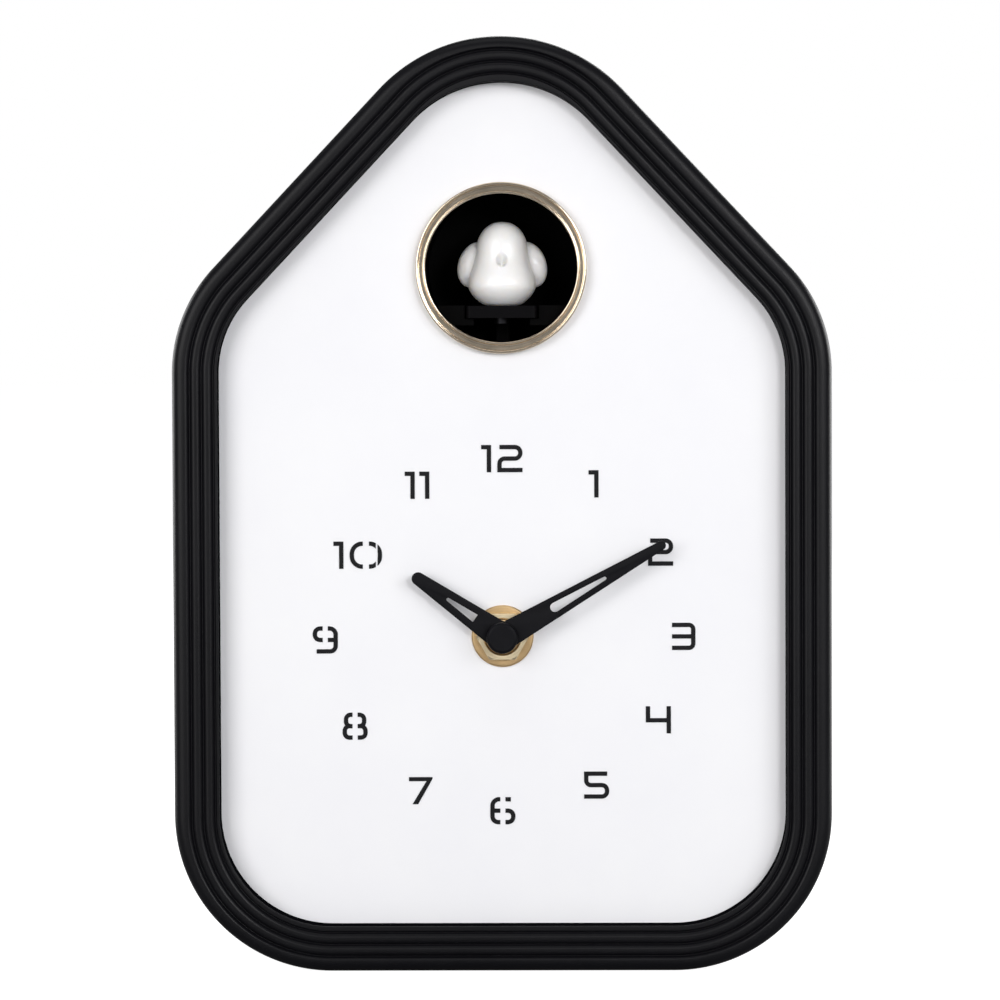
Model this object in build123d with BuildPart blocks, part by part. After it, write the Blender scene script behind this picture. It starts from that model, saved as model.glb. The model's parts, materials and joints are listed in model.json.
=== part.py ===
from build123d import *
from math import atan2, cos, degrees, pi, radians, sin, tan
import os

# A house-shaped cuckoo clock in millimetres. +Z is up, the dial faces -Y, and the origin
# is the middle of the footprint that the clock stands on.

# Case
case_height = 215
case_width = 151.5
roof_angle = 43.2  # degrees between a roof slope and the vertical
apex_radius = 38.2
eave_radius = 35.3
base_radius = 36.2
wall = 2.2
opening_inset = 10.5
dial_inset = 2.8

# Places along Y, from the front to the back
cap_front = -30.0
frame_front = -28.0
dial_front = -22.0
dial_back = -20.0
cover_front = 27.5
cover_back = 30.0

# Grooves in the front of the frame
groove_width = 0.7
groove_depth = 0.9
groove_side_start = 4.1
groove_top_start = 3.1
groove_base_start = 3.6
groove_pitch = 2.72

# Heights of the two centres on the dial
dial_z = 77.1
porthole_z = 162.0

# Porthole and bird
porthole_radius = 17.5
ring_radius = 19.7
chamber_radius = 17.7
chamber_outer = 19.6
chamber_back = 13.0
platform_top = 153.3
platform_thick = 2.8
platform_half = 8.2
bird_top = 172.4
bird_y = -9.0
bird_travel = 18.0

# Hands
hour_length = 25.1
minute_length = 43.3
hour_angle = 305.0  # degrees clockwise from twelve
minute_angle = 60.0
hand_thick = 0.7
hour_hand_back = -25.6
minute_hand_back = -27.3

# Figures
figure_height = 6.3
figure_width = 5.8
figure_stroke = 1.0
figure_thick = 0.15
figure_circle = 41.0
stencil_gap = 1.2

# Movement
movement_half = 28.0
movement_back = -4.0
movement_split = -12.4
shell = 1.2
bushing_radius = 4.0
arbor_radius = 1.7
motion_module = 0.3
hour_module = 0.288
train_module = 0.4
motion_distance = motion_module * (12 + 36) / 2
step_distance = train_module * (48 + 8) / 2
rotor_distance = train_module * (40 + 8) / 2
step_angle = 30.0
rotor_angle = 80.0

# Bird drive
rack_module = 0.8
rack_line = 136.9
pinion_teeth = 16
drive_y = 3.0
motor_module = 0.5
motor_angle = -12.5
motor_radius = 7.5

# Battery compartment
battery_radius = 7.25
battery_length = 49.4
battery_z = (22.0, 38.0)
battery_y = 19.9
bay_half = 28.5
bay_low = 14.0
bay_high = 46.0

# Controls and sound
control_x = -50.0
switch_z = 95.0
button_z = 75.0
speaker_x = 45.0
speaker_z = 92.0
speaker_radius = 20.0
hanger_z = 188.0

# Screws
cover_boss = 3.5
cover_boss_inset = 5.2
dial_screw_inset = 6.6


def facing(y):
    return Plane.XZ.offset(-y)


def rod_y(radius, front, back, x=0.0, z=0.0):
    with BuildPart() as rod:
        with BuildSketch(facing(back)):
            with Locations((x, z)):
                Circle(radius)
        extrude(amount=back - front)
    return rod.part


def rod_x(radius, left, right, y, z):
    with BuildPart() as rod:
        with BuildSketch(Plane.YZ.offset(left)):
            with Locations((y, z)):
                Circle(radius)
        extrude(amount=right - left)
    return rod.part


def block(x, y, z):
    size = [high - low for low, high in (x, y, z)]
    middle = [(high + low) / 2 for low, high in (x, y, z)]
    with BuildPart() as solid:
        with Locations(tuple(middle)):
            Box(*size)
    return solid.part


def house_outline(side, top=None, base=None):
    # The rounded house, drawn inwards from the case by these insets.
    top = side if top is None else top
    base = side if base is None else base
    slope = radians(roof_angle)
    rise = 1 / sin(slope) - 1
    half_width = case_width / 2 - side
    peak = case_height + apex_radius * rise - side / sin(slope)
    eave = peak - half_width / tan(slope)
    rounds = [
        base_radius - max(side, base),
        eave_radius - side,
        (peak - case_height + top) / rise,
        eave_radius - side,
        base_radius - max(side, base),
    ]
    corners = [
        (half_width, base),
        (half_width, eave),
        (0, peak),
        (-half_width, eave),
        (-half_width, base),
    ]
    with BuildSketch() as outline:
        with BuildLine():
            FilletPolyline(*corners, radius=rounds, close=True)
        make_face()
    return outline.sketch


def slope_point(x, inset):
    # The place on a roof slope at this distance from the middle, this far in from the case.
    slope = radians(roof_angle)
    peak = case_height + apex_radius * (1 / sin(slope) - 1) - inset / sin(slope)
    return (x, peak - abs(x) / tan(slope))


def house_plate(front, back, side, top=None, base=None):
    with BuildPart() as plate:
        with BuildSketch(facing(back)):
            add(house_outline(side, top, base))
        extrude(amount=back - front)
    return plate.part


def gear_face(teeth, module, first_tooth):
    # Straight-flanked teeth with backlash, the first one centred on first_tooth degrees.
    pitch_radius = module * teeth / 2
    tip = pitch_radius + 0.75 * module
    root = pitch_radius - module
    half_thick = 0.19 * pi * module
    lean = tan(radians(22))
    tip_half = degrees((half_thick - 0.75 * module * lean) / tip)
    root_half = min(degrees((half_thick + module * lean) / root), 165 / teeth)
    corners = []
    for tooth in range(teeth):
        middle = first_tooth + 360 * tooth / teeth
        for radius, turn in ((root, -root_half), (tip, -tip_half), (tip, tip_half), (root, root_half)):
            angle = radians(middle + turn)
            corners.append((radius * cos(angle), radius * sin(angle)))
    with BuildSketch() as face:
        with BuildLine():
            Polyline(*corners, close=True)
        make_face()
    return face.sketch


def gear_y(teeth, module, first_tooth, front, back, x=0.0, z=0.0):
    with BuildPart() as gear:
        with BuildSketch(facing(back)):
            with Locations((x, z)):
                add(gear_face(teeth, module, first_tooth))
        extrude(amount=back - front)
    return gear.part


def gear_x(teeth, module, first_tooth, left, right, y, z):
    with BuildPart() as gear:
        with BuildSketch(Plane.YZ.offset(left)):
            with Locations((y, z)):
                add(gear_face(teeth, module, first_tooth))
        extrude(amount=right - left)
    return gear.part


# Front frame: the grooved face, the side walls and the screw columns in one moulding

column_low_x = case_width / 2 - base_radius + (base_radius - cover_boss_inset) * cos(pi / 4)
column_low_z = base_radius - (base_radius - cover_boss_inset) * sin(pi / 4)
column_side_x = case_width / 2 - cover_boss_inset
column_side_z = 120.0
column_places = [
    (column_low_x, column_low_z),
    (-column_low_x, column_low_z),
    (column_side_x, column_side_z),
    (-column_side_x, column_side_z),
    (0, case_height - cover_boss_inset),
]
dial_screw_x = case_width / 2 - dial_screw_inset
dial_screw_places = []
for side in (-1, 1):
    dial_screw_places.append((side * dial_screw_x, 60.0))
    dial_screw_places.append((side * dial_screw_x, 136.0))
    dial_screw_places.append((side * 30.0, dial_screw_inset))
    dial_screw_places.append(slope_point(side * 38.0, dial_screw_inset))

with BuildPart() as front_frame:
    add(house_plate(frame_front, cover_front, 0))
    fillet(front_frame.faces().sort_by(Axis.Y)[0].edges(), radius=1.6)
    add(house_plate(dial_front, cover_front, wall), mode=Mode.SUBTRACT)
    add(house_plate(frame_front, cover_front, opening_inset), mode=Mode.SUBTRACT)
    for groove in range(3):
        inwards = groove * groove_pitch
        side = groove_side_start + inwards
        top = groove_top_start + inwards
        base = groove_base_start + inwards
        with BuildSketch(facing(frame_front)):
            add(house_outline(side - groove_width / 2, top - groove_width / 2, base - groove_width / 2))
            add(
                house_outline(side + groove_width / 2, top + groove_width / 2, base + groove_width / 2),
                mode=Mode.SUBTRACT,
            )
        extrude(amount=-groove_depth, mode=Mode.SUBTRACT)
    for x, z in column_places:
        add(rod_y(cover_boss, dial_front, cover_front, x, z))
        add(rod_y(1.2, 14.0, cover_front, x, z), mode=Mode.SUBTRACT)
    for x, z in dial_screw_places:
        add(rod_y(1.1, dial_front - 4.2, dial_front, x, z), mode=Mode.SUBTRACT)

# Dial panel: notched for the columns, with posts for the bird drive on its back

post_places = [(-14.0, 126.0), (14.0, 112.0)]
with BuildPart() as dial_panel:
    add(house_plate(dial_front, dial_back, dial_inset))
    add(rod_y(4.2, dial_front, dial_back, 0, dial_z), mode=Mode.SUBTRACT)
    add(rod_y(18.4, dial_front, dial_back, 0, porthole_z), mode=Mode.SUBTRACT)
    for x, z in dial_screw_places:
        add(rod_y(1.2, dial_front, dial_back, x, z), mode=Mode.SUBTRACT)
    for x, z in column_places:
        add(rod_y(cover_boss + 0.4, dial_front, dial_back, x, z), mode=Mode.SUBTRACT)
    for x, z in post_places:
        add(rod_y(1.4, dial_back, dial_back + 3.0, x, z))

with BuildPart() as dial_screws:
    for x, z in dial_screw_places:
        add(rod_y(1.0, dial_front - 4.0, dial_back, x, z))
        add(rod_y(2.0, dial_back, dial_back + 1.3, x, z))
        with BuildSketch(facing(dial_back + 1.3)):
            with Locations((x, z)):
                Rectangle(2.4, 0.5, rotation=35)
                Rectangle(0.5, 2.4, rotation=35)
        extrude(amount=0.6, mode=Mode.SUBTRACT)

# Figures: strokes along centre lines in a box about each figure's middle

half_x = (figure_width - figure_stroke) / 2
half_z = (figure_height - figure_stroke) / 2
gap_x = stencil_gap / 2
nought_half = 3.25


def stroke(corners, rounds):
    with BuildSketch() as bar:
        with BuildLine() as line:
            if rounds:
                FilletPolyline(*corners, radius=rounds)
            else:
                Polyline(*corners)
        trace(line_width=figure_stroke)
    return bar.sketch


def figure_strokes(figure):
    # Centre lines, each with its corner radii. A square corner is two strokes that cross.
    left, right, low, high = -half_x, half_x, -half_z, half_z
    edge = figure_stroke / 2
    if figure == "1":
        return [([(-1.15, high), (1.15, high)], None), ([(0.65, high + edge), (0.65, low - edge)], None)]
    if figure == "2":
        path = [(left, high), (right, high), (right, 0), (left, 0), (left, low - edge)]
        return [(path, [1.25, 1.25, 1.2]), ([(left - edge, low), (right + edge, low)], None)]
    if figure == "3":
        path = [(left - 0.1, high), (right, high), (right, low), (left - 0.1, low)]
        return [(path, [1.0, 1.0]), ([(left - 0.1, 0), (right, 0)], None)]
    if figure == "4":
        return [
            ([(left, high + edge), (left, -0.1 - edge)], None),
            ([(left - edge, -0.1), (right, -0.1)], None),
            ([(right, high + edge), (right, low - edge)], None),
        ]
    if figure == "5":
        path = [(left, high + edge), (left, 0), (right, 0), (right, low), (left - edge, low)]
        return [(path, [1.1, 1.2, 1.2]), ([(left - edge, high), (right + 0.05, high)], None)]
    if figure == "6":
        hook = [(-gap_x, high), (left, high), (left, low), (-gap_x, low)]
        loop = [(gap_x, 0), (right, 0), (right, low), (gap_x, low)]
        tongue = [(-gap_x, 0), (left, 0)]
        dot = [(gap_x, high), (gap_x + 1.25, high)]
        return [(hook, [1.5, 1.3]), (loop, [1.2, 1.2]), (tongue, None), (dot, None)]
    if figure == "8":
        shapes = []
        for side in (-1, 1):
            small = [(side * gap_x, high), (side * (half_x - 0.3), high)]
            small += [(side * (half_x - 0.3), 0), (side * gap_x, 0)]
            large = [(side * gap_x, 0), (side * half_x, 0), (side * half_x, low), (side * gap_x, low)]
            shapes += [(small, [1.1, 1.1]), (large, [1.1, 1.1])]
        return shapes
    if figure == "9":
        loop = [(-gap_x, high), (left, high), (left, 0), (-gap_x, 0)]
        hook = [(gap_x, high), (right, high), (right, low), (left + 0.4, low)]
        return [(loop, [1.2, 1.2]), (hook, [1.4, 1.3]), ([(gap_x, 0), (right, 0)], None)]
    shapes = []
    for side in (-1, 1):
        curve = [(side * 0.72, high), (side * nought_half, high), (side * nought_half, low), (side * 0.72, low)]
        shapes.append((curve, [2.4, 2.4]))
    return shapes


def seven():
    top = figure_height / 2
    with BuildSketch() as drawn:
        with BuildLine():
            Polyline(
                (-2.7, top),
                (2.75, top),
                (2.75, top - 0.4),
                (-0.6, -top),
                (-1.9, -top),
                (1.35, top - 0.95),
                (-2.7, top - 0.95),
                close=True,
            )
        make_face()
    return drawn.sketch


def figure_sketch(figure):
    if figure == "7":
        return seven()
    with BuildSketch() as drawn:
        for corners, rounds in figure_strokes(figure):
            add(stroke(corners, rounds))
        if figure == "0":
            with Locations((2.5, 0)):
                Rectangle(0.4, figure_height + 1, mode=Mode.SUBTRACT)
    return drawn.sketch


# Places of the figures: the clock's circle, with the small steps that set each one by eye.
figure_steps = {
    1: (0.6, -0.4),
    2: (1.0, -1.2),
    3: (0.6, -0.2),
    4: (0.4, 1.0),
    5: (1.1, 0.9),
    6: (-0.1, 0.5),
    7: (1.4, -0.3),
    8: (1.3, -0.3),
    9: (0.0, -0.8),
    10: (2.2, -1.7),
    11: (0.9, -0.6),
    12: (0.0, 0.0),
}
figure_shifts = {"10": (-4.54, 1.8), "11": (-1.7, 1.67), "12": (-3.65, 1.83)}
with BuildPart() as dial_numerals:
    for hour in range(1, 13):
        angle = radians(90 - 30 * hour)
        step_right, step_up = figure_steps[hour]
        middle_x = figure_circle * cos(angle) + step_right
        middle_z = dial_z + figure_circle * sin(angle) + step_up
        text = str(hour)
        shifts = figure_shifts.get(text, (0.0,))
        with BuildSketch(facing(dial_front)):
            for figure, shift in zip(text, shifts):
                with Locations((middle_x + shift, middle_z)):
                    add(figure_sketch(figure))
        extrude(amount=figure_thick)

# Porthole ring and the bird's chamber

with BuildPart() as porthole_ring:
    with BuildSketch(Plane.YZ):
        with BuildLine():
            Polyline(
                (-17.2, porthole_z + porthole_radius),
                (-17.2, porthole_z + 18.3),
                (dial_front, porthole_z + 18.3),
                (dial_front, porthole_z + ring_radius),
                (dial_front - 1.9, porthole_z + ring_radius),
                (dial_front - 2.4, porthole_z + ring_radius - 0.5),
                (dial_front - 2.1, porthole_z + ring_radius - 1.1),
                (dial_front - 2.6, porthole_z + porthole_radius + 0.6),
                (dial_front - 2.2, porthole_z + porthole_radius),
                close=True,
            )
        make_face()
    revolve(axis=Axis((0, 0, porthole_z), (0, 1, 0)))

ledge_top = platform_top - platform_thick - 0.2
with BuildPart() as bird_chamber:
    add(rod_y(23.0, dial_back, dial_back + 1.6, 0, porthole_z))
    add(rod_y(chamber_outer, dial_back, chamber_back, 0, porthole_z))
    add(rod_y(chamber_radius, dial_back, chamber_back - 1.6, 0, porthole_z), mode=Mode.SUBTRACT)
    add(rod_y(18.35, dial_back, -17.0, 0, porthole_z), mode=Mode.SUBTRACT)
    for side in (-1, 1):
        ledge_x = sorted((side * 6.5, side * 15.0))
        guide_x = sorted((side * (platform_half + 0.4), side * 16.0))
        with BuildPart(mode=Mode.PRIVATE) as rail:
            add(block(ledge_x, (-16.8, chamber_back - 1.6), (ledge_top - 1.5, ledge_top)))
            add(block(guide_x, (-16.8, chamber_back - 1.6), (ledge_top - 1.5, platform_top + 0.1)))
            add(rod_y(chamber_radius + 0.2, -17.0, chamber_back, 0, porthole_z), mode=Mode.INTERSECT)
        add(rail.part)
    add(block((-2.1, 2.1), (-16.6, 8.0), (140.0, 147.0)), mode=Mode.SUBTRACT)

# The bird stands on its carriage

foot_half = 3.4
body_half = 7.85
belly_z = platform_top + 5.2
head_radius = 5.8
head_z = bird_top - head_radius
with BuildPart() as bird_body:
    with BuildSketch(Plane.XZ.offset(-bird_y)):
        with BuildLine():
            Line((0, platform_top), (foot_half, platform_top))
            Bezier((foot_half, platform_top), (4.6, platform_top + 0.1), (7.2, belly_z - 3.0), (body_half, belly_z))
            Bezier((body_half, belly_z), (8.4, belly_z + 3.6), (head_radius, head_z - 3.0), (head_radius, head_z))
            CenterArc((0, head_z), head_radius, 0, 90)
            Line((0, bird_top), (0, platform_top))
        make_face()
    revolve(axis=Axis((0, bird_y, 0), (0, 0, 1)))
    with BuildSketch(Plane.XZ.offset(-(bird_y - 4.2))):
        with Locations((0, 164.0)):
            Circle(2.2)
    with BuildSketch(Plane.XZ.offset(-(bird_y - 9.6))):
        with Locations((0, 163.4)):
            Circle(0.4)
    loft()
    with BuildSketch(Plane.XZ.offset(-(bird_y + 5.5))):
        with Locations((0, 158.0)):
            Ellipse(4.0, 2.4)
    with BuildSketch(Plane.XZ.offset(-(bird_y + 14.0))):
        with Locations((0, 160.4)):
            Ellipse(3.2, 1.0)
    loft()
    with Locations((0, bird_y, platform_top)):
        Hole(1.0, depth=4.2, mode=Mode.SUBTRACT)


def bird_wing(side):
    with BuildPart() as wing:
        with BuildSketch(Plane.XZ.offset(-(bird_y + 5.0))):
            with Locations((side * 6.0, 162.5)):
                Ellipse(3.9, 5.6, rotation=side * 18)
        extrude(amount=3.4)
        fillet(wing.edges(), radius=1.0)
        add(bird_body.part, mode=Mode.SUBTRACT)
        outer = wing.solids().sort_by(Axis.X)[-1 if side > 0 else 0]
        add(outer, mode=Mode.INTERSECT)
    return wing


left_wing = bird_wing(-1)
right_wing = bird_wing(1)

with BuildPart() as bird_screw:
    with BuildSketch(Plane.XY.offset(149.2)):
        with Locations((0, bird_y)):
            Circle(1.9)
    extrude(amount=platform_top - platform_thick - 149.2)
    with BuildSketch(Plane.XY.offset(149.2)):
        with Locations((0, bird_y)):
            Circle(0.9)
    extrude(amount=7.8)

rack_pitch = pi * rack_module
rack_root = rack_line + rack_module
rack_tip = rack_line - 0.75 * rack_module
rack_front = 0.2
rack_back = 24.5
with BuildPart() as bird_carriage:
    add(block((-platform_half, platform_half), (-19.0, 6.0), (platform_top - platform_thick, platform_top)))
    fillet(bird_carriage.edges().filter_by(Axis.Z), radius=1.0)
    with Locations((0, bird_y, platform_top)):
        Hole(1.0, depth=platform_thick)
    add(block((-1.5, 1.5), (2.0, 6.0), (141.0, platform_top - 1)))
    add(block((-2.5, 2.5), (rack_front, rack_back), (rack_root, 141.4)))
    for tooth in range(11):
        middle = drive_y + (tooth - 1 + 0.5) * rack_pitch
        half_root = 0.19 * rack_pitch + rack_module * tan(radians(22))
        half_tip = 0.19 * rack_pitch - 0.75 * rack_module * tan(radians(22))
        if middle + half_root < rack_back:
            with BuildSketch(Plane.YZ.offset(-2.5)):
                with BuildLine():
                    Polyline(
                        (middle - half_root, rack_root + 0.1),
                        (middle - half_tip, rack_tip),
                        (middle + half_tip, rack_tip),
                        (middle + half_root, rack_root + 0.1),
                        close=True,
                    )
                make_face()
            extrude(amount=5.0)

# Drive of the bird: a rack pinion, a gear and a motor on a bracket

drive_radius = rack_module * pinion_teeth / 2
drive_z = rack_line - drive_radius
motor_distance = motor_module * (40 + 10) / 2
motor_y = drive_y + motor_distance * cos(radians(motor_angle))
motor_z = drive_z + motor_distance * sin(radians(motor_angle))

with BuildPart() as drive_gear:
    add(gear_x(pinion_teeth, rack_module, 90.0, -2.5, 2.5, drive_y, drive_z))
    add(rod_x(3.0, 2.5, 4.0, drive_y, drive_z))
    add(gear_x(40, motor_module, motor_angle, 4.0, 6.0, drive_y, drive_z))
    add(rod_x(1.06, -3.0, 7.0, drive_y, drive_z), mode=Mode.SUBTRACT)

with BuildPart() as motor_pinion:
    add(gear_x(10, motor_module, 180.0 + motor_angle + 18.0, 3.8, 6.2, motor_y, motor_z))
    add(rod_x(0.76, 3.8, 6.2, motor_y, motor_z), mode=Mode.SUBTRACT)

with BuildPart() as motor_shaft:
    add(rod_x(0.75, 3.8, 26.0, motor_y, motor_z))

with BuildPart() as cuckoo_motor:
    add(rod_x(motor_radius, 8.8, 28.8, motor_y, motor_z))
    fillet(cuckoo_motor.edges(), radius=0.8)
    add(rod_x(2.4, 7.4, 8.8, motor_y, motor_z))
    add(rod_x(2.4, 28.8, 29.8, motor_y, motor_z))
    add(rod_x(0.85, 7.0, 26.2, motor_y, motor_z), mode=Mode.SUBTRACT)

with BuildPart() as drive_axle:
    add(rod_x(1.0, -8.8, 8.7, drive_y, drive_z))

with BuildPart() as mechanism_bracket:
    add(block((-8.0, -6.4), (-3.0, 24.0), (117.4, 141.4)))
    add(block((7.2, 8.8), (-3.0, 24.0), (117.4, 141.4)))
    add(block((-8.0, 8.8), (dial_back, 24.0), (117.4, 119.0)))
    add(block((-18.0, 18.0), (dial_back, dial_back + 1.6), (108.0, 131.0)))
    add(rod_x(1.02, -9.0, 9.0, drive_y, drive_z), mode=Mode.SUBTRACT)
    add(rod_x(2.45, 7.0, 9.0, motor_y, motor_z), mode=Mode.SUBTRACT)
    for x, z in post_places:
        add(rod_y(1.5, dial_back, dial_back + 1.6, x, z), mode=Mode.SUBTRACT)

# Time movement: two trays, a bridge and the wheels on the central arbor

inner_half = movement_half - shell
inter_z = dial_z - motion_distance
knob_z = inter_z - motion_distance
step_x = step_distance * cos(radians(step_angle))
step_z = dial_z + step_distance * sin(radians(step_angle))
rotor_x = step_x + rotor_distance * cos(radians(rotor_angle))
rotor_z = step_z + rotor_distance * sin(radians(rotor_angle))
bridge_front = -15.2
bridge_back = -14.4
bridge_x = (-14.0, 22.0)
bridge_z = (dial_z - 20.0, dial_z + 22.0)
bridge_posts = [(x, z) for x in (-11.5, 19.5) for z in (dial_z - 17.5, dial_z + 19.5)]
movement_x = (-movement_half, movement_half)
movement_z = (dial_z - movement_half, dial_z + movement_half)
inner_x = (-inner_half, inner_half)
inner_z = (dial_z - inner_half, dial_z + inner_half)

with BuildPart() as movement_housing:
    add(block(movement_x, (dial_back, movement_split), movement_z))
    fillet(movement_housing.edges().filter_by(Axis.Y), radius=3.0)
    add(block(inner_x, (dial_back + shell, movement_split), inner_z), mode=Mode.SUBTRACT)
    add(rod_y(bushing_radius + 0.03, dial_back, dial_back + shell, 0, dial_z), mode=Mode.SUBTRACT)
    add(rod_y(0.58, dial_back + 0.4, dial_back + shell, 0, inter_z), mode=Mode.SUBTRACT)
    add(rod_y(0.98, dial_back + 0.4, dial_back + shell, 0, knob_z), mode=Mode.SUBTRACT)
    for x, z in bridge_posts:
        add(rod_y(2.0, dial_back + shell, bridge_front, x, z))

with BuildPart() as movement_bridge:
    add(block(bridge_x, (bridge_front, bridge_back), bridge_z))
    fillet(movement_bridge.edges().filter_by(Axis.Y), radius=2.0)
    add(rod_y(1.4, bridge_front, bridge_back, 0, dial_z), mode=Mode.SUBTRACT)
    add(rod_y(0.58, bridge_front, bridge_back, 0, inter_z), mode=Mode.SUBTRACT)
    add(rod_y(1.3, bridge_front, bridge_back, 0, knob_z), mode=Mode.SUBTRACT)
    add(rod_y(0.58, bridge_front, bridge_back, step_x, step_z), mode=Mode.SUBTRACT)
    add(rod_y(0.48, bridge_front, bridge_back, rotor_x, rotor_z), mode=Mode.SUBTRACT)

with BuildPart() as movement_cover:
    add(block(movement_x, (movement_split, movement_back), movement_z))
    fillet(movement_cover.edges().filter_by(Axis.Y), radius=3.0)
    add(block(inner_x, (movement_split, movement_back - shell), inner_z), mode=Mode.SUBTRACT)
    add(rod_y(1.08, movement_back - shell, movement_back - 0.5, 0, dial_z), mode=Mode.SUBTRACT)
    add(rod_y(0.58, movement_back - shell, movement_back - 0.5, step_x, step_z), mode=Mode.SUBTRACT)
    add(rod_y(0.48, movement_back - shell, movement_back - 0.5, rotor_x, rotor_z), mode=Mode.SUBTRACT)
    add(rod_y(2.2, movement_back - shell, movement_back, 0, knob_z), mode=Mode.SUBTRACT)

with BuildPart() as threaded_bushing:
    add(rod_y(bushing_radius, -25.4, dial_back + shell, 0, dial_z))
    for ridge in range(5):
        groove_y = -25.0 + 0.6 * ridge
        with BuildSketch(Plane.YZ):
            with Locations((groove_y, dial_z + bushing_radius)):
                Rectangle(0.25, 0.4)
        revolve(axis=Axis((0, 0, dial_z), (0, 1, 0)), mode=Mode.SUBTRACT)
    add(rod_y(2.62, -25.4, dial_back + shell, 0, dial_z), mode=Mode.SUBTRACT)

with BuildPart() as dial_washer:
    add(rod_y(7.15, dial_front - 0.8, dial_front, 0, dial_z))
    chamfer(dial_washer.faces().sort_by(Axis.Y)[0].edges(), length=0.25)
    add(rod_y(4.1, dial_front - 0.8, dial_front, 0, dial_z), mode=Mode.SUBTRACT)

with BuildPart() as hex_nut:
    with BuildSketch(facing(dial_front - 0.8)):
        with Locations((0, dial_z)):
            RegularPolygon(5.3, 6, major_radius=False)
    extrude(amount=2.2)
    with BuildSketch(facing(dial_front - 0.8)):
        with Locations((0, dial_z)):
            Circle(5.9)
    extrude(amount=2.2, mode=Mode.INTERSECT)
    add(rod_y(4.06, dial_front - 3.0, dial_front - 0.8, 0, dial_z), mode=Mode.SUBTRACT)

with BuildPart() as centre_arbor:
    add(rod_y(1.5, -29.0, minute_hand_back, 0, dial_z))
    add(rod_y(arbor_radius, minute_hand_back, -17.1, 0, dial_z))
    add(gear_y(12, motion_module, -90.0, -17.1, -15.5, 0, dial_z))
    add(rod_y(1.0, -15.5, movement_back - 0.6, 0, dial_z))

with BuildPart() as drive_wheel:
    add(gear_y(48, train_module, step_angle, -13.9, -12.9, 0, dial_z))
    add(rod_y(2.2, -14.2, -12.6, 0, dial_z))
    add(rod_y(1.02, -14.3, -12.5, 0, dial_z), mode=Mode.SUBTRACT)
    with BuildSketch(facing(-12.9)):
        with Locations((0, dial_z)):
            with PolarLocations(5.6, 5):
                Circle(2.0)
    extrude(amount=1.0, mode=Mode.SUBTRACT)

with BuildPart() as hour_wheel:
    add(gear_y(40, hour_module, -90.0 + 180.0 / 40, -18.4, -17.3, 0, dial_z))
    add(rod_y(2.5, hour_hand_back - hand_thick - 0.1, -17.3, 0, dial_z))
    add(rod_y(1.8, hour_hand_back - hand_thick - 0.1, -17.3, 0, dial_z), mode=Mode.SUBTRACT)

with BuildPart() as intermediate_wheel:
    add(gear_y(36, motion_module, 90.0 + 180.0 / 36, -16.9, -15.9, 0, inter_z))
    add(gear_y(10, hour_module, 90.0, -18.5, -16.9, 0, inter_z))
    add(rod_y(0.5, -19.5, bridge_back, 0, inter_z))

with BuildPart() as step_wheel:
    add(gear_y(8, train_module, 180.0 + step_angle + 22.5, -14.1, -12.7, step_x, step_z))
    add(rod_y(1.9, -12.7, -12.3, step_x, step_z))
    add(gear_y(40, train_module, rotor_angle, -12.3, -11.3, step_x, step_z))
    add(rod_y(0.5, -15.1, movement_back - 0.6, step_x, step_z))

with BuildPart() as rotor_pinion:
    add(gear_y(8, train_module, 180.0 + rotor_angle + 22.5, -12.5, -11.1, rotor_x, rotor_z))
    add(rod_y(0.4, -15.1, movement_back - 0.6, rotor_x, rotor_z))

with BuildPart() as rotor_magnet:
    add(rod_y(3.0, -10.4, -6.4, rotor_x, rotor_z))
    add(rod_y(0.41, -10.4, -6.4, rotor_x, rotor_z), mode=Mode.SUBTRACT)

coil_z = dial_z + 15.6
coil_y = -8.2
core_x = (-16.0, 7.0)
with BuildPart() as stator:
    add(block((-16.0, 17.0), (-9.2, -8.2), (dial_z + 10.8, dial_z + 19.3)))
    add(block((-13.0, 5.0), (-9.2, -8.2), (dial_z + 12.0, dial_z + 19.3)), mode=Mode.SUBTRACT)
    add(rod_y(3.6, -9.2, -8.2, rotor_x, rotor_z), mode=Mode.SUBTRACT)

with BuildPart() as coil_core:
    add(block(core_x, (-8.2, -7.4), (coil_z - 0.9, coil_z + 0.9)))

with BuildPart() as coil_bobbin:
    add(rod_x(1.7, -12.6, 4.6, coil_y + 0.3, coil_z))
    for left in (-12.6, 3.9):
        add(rod_x(2.6, left, left + 0.7, coil_y + 0.3, coil_z))
    add(block((-13, 5), (-8.3, -7.3), (coil_z - 1.0, coil_z + 1.0)), mode=Mode.SUBTRACT)

with BuildPart() as coil_winding:
    add(rod_x(2.4, -11.8, 3.8, coil_y + 0.3, coil_z))
    add(rod_x(1.72, -11.8, 3.8, coil_y + 0.3, coil_z), mode=Mode.SUBTRACT)

with BuildPart() as movement_board:
    add(block((-25.0, -7.0), (-6.8, -5.8), (dial_z - 24.0, dial_z - 5.0)))

with BuildPart() as quartz_crystal:
    add(rod_x(1.0, -22.0, -16.0, -7.85, dial_z - 9.0))
    fillet(quartz_crystal.edges(), radius=0.3)

with BuildPart() as setting_knob:
    add(gear_y(12, motion_module, 90.0, -17.1, -15.7, 0, knob_z))
    add(rod_y(0.9, -19.5, -13.4, 0, knob_z))
    add(rod_y(1.9, -13.4, 22.0, 0, knob_z))
    with BuildSketch(facing(28.8)):
        with Locations((0, knob_z)):
            Circle(6.5)
            with PolarLocations(6.7, 20):
                Circle(0.45, mode=Mode.SUBTRACT)
    extrude(amount=7.0)

# Hands and cap


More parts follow.
